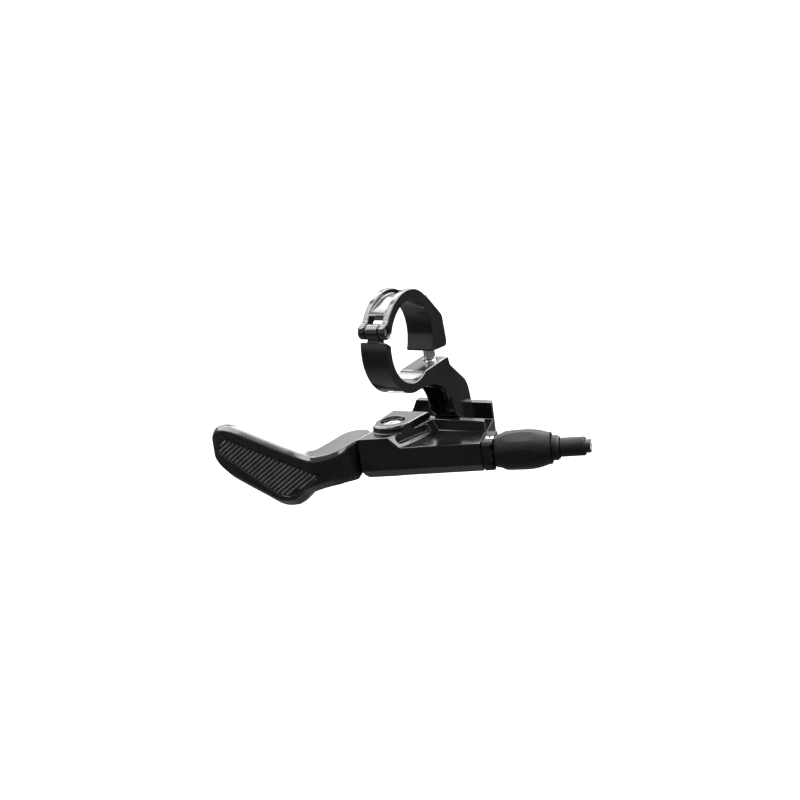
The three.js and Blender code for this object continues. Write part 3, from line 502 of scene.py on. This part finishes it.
def pad_ribs(bm, plane, outline, face):
    """Ribs that slant the same way on the photographed side, whichever way along points."""
    along = plane[1]
    run = Vector((math.cos(RIB_SLANT), math.sin(RIB_SLANT)))
    if along.x < 0:
        run.x = -run.x
    across = Vector((-run.y, run.x))
    reach = [corner.dot(across) for corner in outline]
    spot = min(reach) + RIB_PITCH / 2
    while spot < max(reach):
        middle = across * spot
        stretch = clip_to_outline(middle, run, outline)
        if stretch:
            half_round(bm, plane, middle, run, stretch, face - RIB_SINK)
        spot += RIB_PITCH


def half_round(bm, plane, middle, run, stretch, height):
    """One rib with its flat side at a height and a dimple in each end."""
    start, end = stretch
    across = Vector((-run.y, run.x))
    stations = []
    for turn in RIB_END_TURNS:
        size = math.sin(math.radians(turn))
        stations.append((start + RIB_RADIUS * (1 - size), size))
    stations += [(start + end - place, size) for place, size in reversed(stations)]
    rings = []
    for place, size in stations:
        ring = []
        for step in range(RIB_STEPS + 1):
            angle = math.pi * step / RIB_STEPS
            side = RIB_RADIUS * size * math.cos(angle)
            rise = RIB_RADIUS * size * math.sin(angle)
            spot = middle + run * place + across * side
            ring.append(pad_vert(bm, plane, spot.x, spot.y, height + rise))
        rings.append(ring)
    join_rings(bm, rings)


def thumb_pad():
    """A grip plate and half-round ribs, in place of the CAD pad."""
    outline, plane, depth = pad_plane()
    for name, build, material in (
        ("thumb_pad_plate", pad_plate, MATERIALS[SLOTS["thumb_pad"]]),
        # the ribs take the lighter rubber, a painted highlight
        ("thumb_pad_ribs", pad_ribs, RIB_HIGHLIGHT_RUBBER),
    ):
        bm = bmesh.new()
        build(bm, plane, outline, depth + PAD_PROUD)
        bmesh.ops.recalc_face_normals(bm, faces=bm.faces)
        piece = piece_from(bm, name, NODE_BODY["thumb_pad"], SLOTS["thumb_pad"])
        piece.data.materials[0] = material
        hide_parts("thumb_pad")
        keep_flats(piece)


# ---------------------------------------------------------------- build

EDGE_ROUNDS = {                   # millimetres
    "bracket": 0.35, "clamp_cap": 0.33, "lever_housing": 0.2, "lever": 0.3, "hub_cover": 0.15,
    "adjuster_seat": 0.22, "barrel_adjuster": 0.25, "ferrule_collar": 0.15, "ferrule_sleeve": 0.12,
    "pivot_bolt": 0.1, "rail_bolt": 0.15, "hinge_pin": 0.12,
    "housing_jacket": 0.08, "pivot_nut": 0.08, "screw_washer": 0.06, "rail_washer": 0.06,
    "cable_anchor": 0.08, "pinch_screw": 0.06, "cable_tip": 0.05,
    "cover_screw_1": 0.06, "cover_screw_2": 0.06, "cover_screw_3": 0.06,
}
REBUILT = {"clamp_screw": clamp_screw, "thumb_pad": thumb_pad}


def dress_cad_nodes():
    """Each CAD node is rebuilt, finished with rounded edges, or kept in its material."""
    for node, piece in frame["nodes"].items():
        if node in REBUILT:
            REBUILT[node]()
            continue
        if node in EDGE_ROUNDS:
            refined(node, EDGE_ROUNDS[node] * MM)
            continue
        piece.data.materials.clear()
        piece.data.materials.append(MATERIALS[SLOTS[node]])
        for polygon in piece.data.polygons:
            polygon.use_smooth = True


dress_cad_nodes()


# ---------------------------------------------------------------- studio

FLOOR_HALF = 40.0                 # metres, half the sheet's width
FLOOR_DROP = 0.25                 # metres, of the sheet below the part
SURROUNDINGS = (                  # height from straight down (0) to straight up (1), and grey
    (0.0, 0.5),
    (0.12, 0.4),
    (0.24, 0.14),
    (0.44, 0.12),
    (0.53, 0.9),
    (1.0, 1.0),
)


def area_light(name, place, aim, size, power):
    """A rectangular light that the camera doesn't see."""
    data = bpy.data.lights.new(name, "AREA")
    data.shape = "RECTANGLE"
    data.size, data.size_y = size
    data.energy = power
    light = bpy.data.objects.new(name, data)
    bpy.context.scene.collection.objects.link(light)
    light.location = place
    light.rotation_euler = (Vector(aim) - Vector(place)).to_track_quat("-Z", "Y").to_euler()
    light.visible_camera = False


def glowing_paper():
    """Pale sheet that shines by itself, so that it looks white without much light on it."""
    material, shader, tree, add = new_material("pale_paper")
    place = add("ShaderNodeTexCoord").outputs["Object"]
    fibre = remap(add, noise(add, place, 40, 5), 0.3, 0.7, 0, 1)
    tint = mix_colour(add, fibre, (0.105, 0.105, 0.105), (0.115, 0.115, 0.115))
    tree.links.new(tint, shader.inputs["Base Color"])
    shader.inputs["Emission Color"].default_value = (1, 1, 1, 1)
    shader.inputs["Emission Strength"].default_value = 0.85
    shader.inputs["Roughness"].default_value = 0.9
    return material


def add_floor(centre, lowest):
    """The sheet under the part, which glossy surfaces don't mirror."""
    mesh = bpy.data.meshes.new("floor")
    corners = [(x * FLOOR_HALF, y * FLOOR_HALF, 0) for x, y in ((-1, -1), (1, -1), (1, 1), (-1, 1))]
    mesh.from_pydata(corners, [], [(0, 1, 2, 3)])
    mesh.materials.append(glowing_paper())
    floor = bpy.data.objects.new("floor", mesh)
    floor.location = (centre.x, centre.y, lowest - FLOOR_DROP)
    bpy.context.scene.collection.objects.link(floor)
    floor.visible_glossy = False


def add_world():
    """A grey that depends only on how high a direction points."""
    world = bpy.data.worlds.new("white_room")
    bpy.context.scene.world = world
    world.use_nodes = True
    tree = world.node_tree
    background = tree.nodes["Background"]
    direction = tree.nodes.new("ShaderNodeTexCoord").outputs["Generated"]
    height = tree.nodes.new("ShaderNodeSeparateXYZ")
    tree.links.new(direction, height.inputs["Vector"])
    fade = tree.nodes.new("ShaderNodeMapRange")
    fade.inputs["From Min"].default_value = -1.0
    tree.links.new(height.outputs["Z"], fade.inputs["Value"])
    ramp = tree.nodes.new("ShaderNodeValToRGB")
    while len(ramp.color_ramp.elements) < len(SURROUNDINGS):
        ramp.color_ramp.elements.new(0.5)
    for stop, (place, grey) in zip(ramp.color_ramp.elements, SURROUNDINGS):
        stop.position = place
        stop.color = (grey, grey, grey, 1)
    tree.links.new(fade.outputs["Result"], ramp.inputs["Fac"])
    tree.links.new(ramp.outputs["Color"], background.inputs["Color"])


def add_lights(centre):
    """Softboxes: three behind the part as the camera sees it, one overhead, one at each side."""
    right, _, back = view_axes()
    away = -Vector((back.x, back.y, 0)).normalized()
    across = Vector((right.x, right.y, 0)).normalized()
    upward = Vector((0, 0, 1))
    for name, offset, size, power in (
        ("low_softbox", 2.2 * away + 0.62 * upward, (3.2, 0.8), 7),
        ("high_softbox", 1.9 * away + 1.6 * upward, (3.0, 1.1), 110),
        ("rim_softbox", 1.7 * across + 1.2 * away + 1.3 * upward, (2.0, 2.0), 130),
        ("overhead_softbox", 1.6 * upward, (1.7, 1.7), 60),
        ("right_softbox", Vector((1.17, 0.43, 1.22)), (1.4, 1.4), 62),
        ("left_softbox", Vector((-1.2, -0.36, 1.25)), (1.4, 1.6), 78),
    ):
        area_light(name, centre + offset, centre, size, power)


def add_studio():
    low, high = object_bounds()
    centre = (Vector(low) + Vector(high)) / 2
    add_floor(centre, low[2])
    add_world()
    add_lights(centre)


add_studio()
add_camera()
bpy.context.scene.view_settings.view_transform = "Standard"
